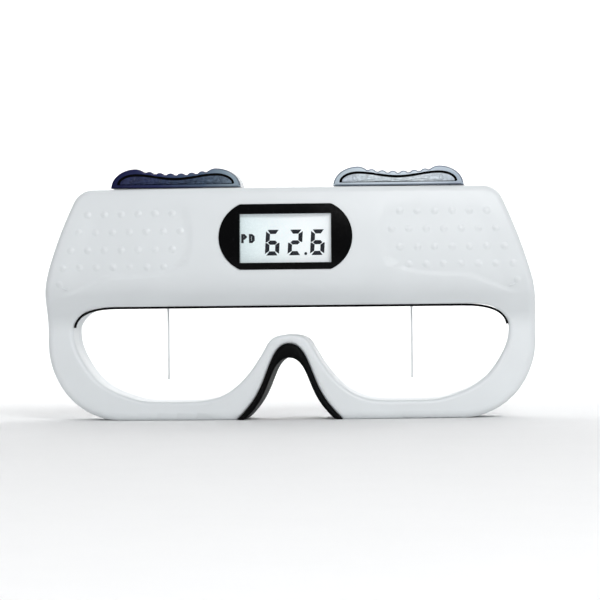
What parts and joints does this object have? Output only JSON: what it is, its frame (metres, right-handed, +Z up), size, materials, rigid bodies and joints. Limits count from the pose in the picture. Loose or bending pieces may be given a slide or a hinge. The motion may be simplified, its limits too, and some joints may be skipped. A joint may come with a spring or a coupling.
{
  "type": "pupillary distance meter",
  "caption": "Mask-shaped hand-held digital rule with a wide window, hairlines on thumb slides, nose and brow pads and a small display.",
  "frame": {"origin": "on the table under the middle of the instrument's box, where its two flat feet stand", "axes": "+X right seen from the front, +Y towards the wearer, +Z up"},
  "size_m": [0.126, 0.0381, 0.0645],
  "materials": {
    "housing": "satin, fine mould texture",
    "housing_back": "satin, fine mould texture",
    "grip": "soft-touch satin",
    "bezel": "gloss black",
    "dark_plastic": "matt",
    "clear": "clear, polished",
    "lcd": "liquid crystal cell with dark figures",
    "silver_foil": "satin",
    "white_plastic": "matt",
    "rubber": "matt black",
    "board": "solder mask",
    "copper": "gilt tracks",
    "chip": "matt",
    "steel": "bright zinc",
    "cell": "printed sleeve",
    "nickel": "nickel plate",
    "key_grey": "soft grey",
    "switch_body": "matt",
    "brass": "turned",
    "hairline": "white enamel",
    "slide_navy": "gloss, navy fading to grey blue",
    "slide_silver": "gloss, pale silver blue",
    "inlay_navy": "gloss relief",
    "inlay_silver": "gloss relief"
  },
  "bodies": {
    "housing": {"front_shell": "housing", "rear_shell": "housing_back", "left_grip_dots": "grip", "right_grip_dots": "grip", "display_bezel": "bezel", "bezel_clamp": "dark_plastic", "display_window": "clear", "lcd_glass": "lcd", "lcd_reflector": "silver_foil", "lcd_holder": "white_plastic", "zebra_strips": "rubber", "circuit_board": "board", "encoder_tracks": "copper", "board_chips": "chip", "board_screws": "steel", "housing_screws": "steel", "battery_cells": "cell", "battery_contacts": "nickel", "battery_springs": "nickel", "key_boards": "board", "key_switches": "switch_body", "key_board_screws": "steel", "brow_pad": "rubber", "nose_pad": "rubber", "guide_rods": "steel", "left_rod_bracket": "dark_plastic", "right_rod_bracket": "dark_plastic", "bracket_screws": "steel"},
    "left_slide": {"left_carriage": "white_plastic", "left_bushes": "brass", "left_encoder_plate": "board", "left_hairline_collet": "brass", "left_hairline": "hairline", "left_thumb_slide": "slide_navy", "left_slide_inlays": "inlay_navy"},
    "right_slide": {"right_carriage": "white_plastic", "right_bushes": "brass", "right_encoder_plate": "board", "right_hairline_collet": "brass", "right_hairline": "hairline", "right_thumb_slide": "slide_silver", "right_slide_inlays": "inlay_silver"},
    "power_key": {"power_button": "key_grey"},
    "mode_key": {"mode_button": "key_grey"},
    "door": {"battery_door": "housing_back"}
  },
  "joints": [
    {"name": "left_slide_travel", "type": "slide", "parent": "housing", "child": "left_slide", "axis": [1, 0, 0], "range_m": [-0.0097, 0.0088]},
    {"name": "right_slide_travel", "type": "slide", "parent": "housing", "child": "right_slide", "axis": [1, 0, 0], "range_m": [-0.0088, 0.0097]},
    {"name": "power_key_press", "type": "slide", "parent": "housing", "child": "power_key", "axis": [0, -1, 0], "range_m": [0, 0.0008], "stiffness_N_per_m": 400},
    {"name": "mode_key_press", "type": "slide", "parent": "housing", "child": "mode_key", "axis": [0, -1, 0], "range_m": [0, 0.0008], "stiffness_N_per_m": 400},
    {"name": "battery_door_slide", "type": "slide", "parent": "housing", "child": "door", "axis": [0, 0, 1], "range_m": [0, 0.02]}
  ]
}
